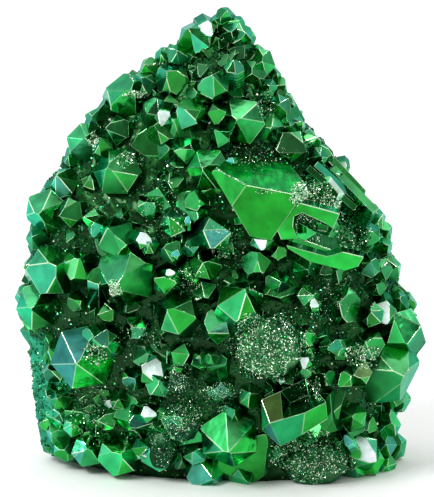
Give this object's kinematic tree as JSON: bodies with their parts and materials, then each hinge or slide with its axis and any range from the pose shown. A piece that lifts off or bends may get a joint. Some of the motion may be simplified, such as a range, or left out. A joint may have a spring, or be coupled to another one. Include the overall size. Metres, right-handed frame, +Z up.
{
  "type": "titanium aura quartz cluster",
  "caption": "Mound-shaped cluster of quartz points with a metallic green aura coating, standing on its own flat-cut matrix base with a rough back.",
  "frame": {"origin": "middle of the bounding box in x and y, on the plane the cluster rests on", "axes": "+Z up, +Y towards the rough back, crystal front at -Y"},
  "size_m": [0.0824, 0.0524, 0.0926],
  "materials": {
    "aura_coating": "metallic green film over quartz, mirror-like on the faces"
  },
  "bodies": {
    "root": {"cluster": "aura_coating"}
  },
  "joints": []
}
